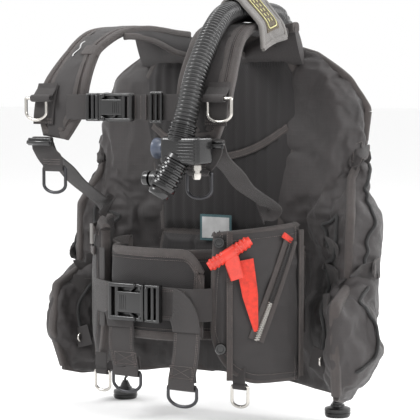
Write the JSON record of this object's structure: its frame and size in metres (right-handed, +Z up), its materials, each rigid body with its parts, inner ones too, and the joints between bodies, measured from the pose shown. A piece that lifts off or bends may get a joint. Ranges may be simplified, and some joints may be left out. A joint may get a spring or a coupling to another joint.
{
  "type": "buoyancy compensator vest",
  "caption": "Diver's back-inflation buoyancy vest with padded shoulder harness, waist and chest buckles, weight pockets, corrugated inflator hose, dump valves and a tank band.",
  "frame": {"origin": "centre of the flat rear face of the tank pad, where the tank rests", "axes": "+Z up, +Y towards the tank, -Y to the wearer's front, +X to the wearer's left"},
  "size_m": [0.5956, 0.5717, 0.6634],
  "materials": {
    "black_plastic": "moulded, satin",
    "dark_metal": "dark coated",
    "hose_rubber": "smooth black rubber",
    "mesh_fabric": "padded mesh cloth",
    "mouth_rubber": "soft blue-grey silicone",
    "nylon": "coated nylon, matt",
    "red_rubber": "moulded, satin",
    "steel": "polished stainless",
    "webbing": "woven webbing",
    "wrap_fabric": "woven grey-brown cloth"
  },
  "bodies": {
    "vest": {"back_pad": "mesh_fabric", "back_plate": "black_plastic", "bladder": "nylon", "bungee_left": "hose_rubber", "bungee_right": "hose_rubber", "cam_buckle_base": "black_plastic", "carry_handle": "webbing", "chest_buckle_female": "black_plastic", "chest_strap_left": "webbing", "chest_strap_right": "webbing", "chest_triglide": "black_plastic", "cummerbund_left": "mesh_fabric", "cummerbund_right": "mesh_fabric", "dump_valve_left": "black_plastic", "dump_valve_right": "black_plastic", "hose_elbow": "black_plastic", "hose_upper": "hose_rubber", "hose_wrap": "wrap_fabric", "ladder_lock_left": "black_plastic", "ladder_lock_right": "black_plastic", "lower_strap_left": "webbing", "lower_strap_right": "webbing", "lumbar_pad": "mesh_fabric", "positioning_strap": "webbing", "pull_cord_left": "webbing", "pull_cord_right": "webbing", "shoulder_strap_left": "nylon", "shoulder_strap_right": "nylon", "shoulder_web_left": "webbing", "shoulder_web_right": "webbing", "tank_band": "webbing", "tank_pad": "black_plastic", "waist_buckle_female": "black_plastic", "waist_strap_left": "webbing", "waist_strap_right": "webbing", "waist_tail_right": "webbing", "weight_pocket_left": "nylon", "weight_pocket_right": "nylon", "yoke_collar": "nylon"},
    "waist_tongue": {"waist_buckle_male": "black_plastic", "waist_tail_left": "webbing"},
    "chest_tongue": {"chest_buckle_male": "black_plastic"},
    "upper_d_ring_left_body": {"upper_d_ring_left": "steel"},
    "lower_d_ring_left_body": {"lower_d_ring_left": "dark_metal"},
    "pocket_d_ring_left_body": {"pocket_d_ring_left": "steel"},
    "tail_d_ring_left_body": {"tail_d_ring_left": "dark_metal"},
    "pull_knob_left_body": {"pull_knob_left": "black_plastic"},
    "upper_d_ring_right_body": {"upper_d_ring_right": "steel"},
    "lower_d_ring_right_body": {"lower_d_ring_right": "dark_metal"},
    "pocket_d_ring_right_body": {"pocket_d_ring_right": "steel"},
    "tail_d_ring_right_body": {"tail_d_ring_right": "dark_metal"},
    "pull_knob_right_body": {"pull_knob_right": "black_plastic"},
    "inflator": {"inflator_hose": "hose_rubber", "inflator_body": "black_plastic", "mouthpiece": "mouth_rubber", "hose_nipple": "steel"},
    "inflate_button_body": {"inflate_button": "black_plastic"},
    "deflate_button_body": {"deflate_button": "black_plastic"},
    "cam_lever_body": {"cam_lever": "black_plastic"},
    "ripcord_body": {"ripcord_handle": "red_rubber"}
  },
  "joints": [
    {"name": "waist_buckle_slide", "type": "slide", "parent": "vest", "child": "waist_tongue", "axis": [1, 0, 0], "range_m": [0, 0.03]},
    {"name": "chest_buckle_slide", "type": "slide", "parent": "vest", "child": "chest_tongue", "axis": [-1, 0, 0], "range_m": [0, 0.03]},
    {"name": "upper_d_ring_left_swing", "type": "hinge", "parent": "vest", "child": "upper_d_ring_left_body", "pos_m": [0.16635, -0.29968, 0.179], "axis": [1, 0, 0], "range_deg": [-75, 1]},
    {"name": "upper_d_ring_right_swing", "type": "hinge", "parent": "vest", "child": "upper_d_ring_right_body", "pos_m": [-0.16635, -0.29968, 0.179], "axis": [1, 0, 0], "range_deg": [-75, 1]},
    {"name": "lower_d_ring_left_swing", "type": "hinge", "parent": "vest", "child": "lower_d_ring_left_body", "pos_m": [0.132, -0.299, 0.073], "axis": [1, 0, 0], "range_deg": [-50, 60]},
    {"name": "lower_d_ring_right_swing", "type": "hinge", "parent": "vest", "child": "lower_d_ring_right_body", "pos_m": [-0.132, -0.299, 0.073], "axis": [1, 0, 0], "range_deg": [-75, 60]},
    {"name": "pocket_d_ring_left_swing", "type": "hinge", "parent": "vest", "child": "pocket_d_ring_left_body", "pos_m": [0.12877, -0.18339, -0.2545], "axis": [1, 0, 0], "range_deg": [-60, 60]},
    {"name": "pocket_d_ring_right_swing", "type": "hinge", "parent": "vest", "child": "pocket_d_ring_right_body", "pos_m": [-0.12877, -0.18339, -0.2545], "axis": [1, 0, 0], "range_deg": [-60, 60]},
    {"name": "tail_d_ring_left_swing", "type": "hinge", "parent": "waist_tongue", "child": "tail_d_ring_left_body", "pos_m": [0.066, -0.24575, -0.253], "axis": [1, 0, 0], "range_deg": [-70, 70]},
    {"name": "tail_d_ring_right_swing", "type": "hinge", "parent": "vest", "child": "tail_d_ring_right_body", "pos_m": [-0.036, -0.24575, -0.24], "axis": [1, 0, 0], "range_deg": [-70, 70]},
    {"name": "inflator_swing", "type": "hinge", "parent": "vest", "child": "inflator", "pos_m": [0.116, -0.20432, 0.30154], "axis": [1, 0, 0], "range_deg": [-70, 0]},
    {"name": "inflate_button_press", "type": "slide", "parent": "inflator", "child": "inflate_button_body", "axis": [1, 0, 0], "range_m": [0, 0.0038], "stiffness_N_per_m": 900, "springref_m": -0.001},
    {"name": "deflate_button_press", "type": "slide", "parent": "inflator", "child": "deflate_button_body", "axis": [0.3541, 0.3541, 0.8656], "range_m": [0, 0.0038], "stiffness_N_per_m": 900, "springref_m": -0.001},
    {"name": "pull_knob_left_pull", "type": "slide", "parent": "vest", "child": "pull_knob_left_body", "axis": [0, 0, -1], "range_m": [0, 0.02], "stiffness_N_per_m": 600, "springref_m": -0.003},
    {"name": "pull_knob_right_pull", "type": "slide", "parent": "vest", "child": "pull_knob_right_body", "axis": [0, 0, -1], "range_m": [0, 0.02], "stiffness_N_per_m": 600, "springref_m": -0.003},
    {"name": "cam_lever_swing", "type": "hinge", "parent": "vest", "child": "cam_lever_body", "pos_m": [0.034, 0.1993, 0.085], "axis": [0, 0, -1], "range_deg": [0, 100]},
    {"name": "ripcord_pull", "type": "slide", "parent": "vest", "child": "ripcord_body", "axis": [0.6154, -0.7882, 0], "range_m": [0, 0.06]}
  ]
}
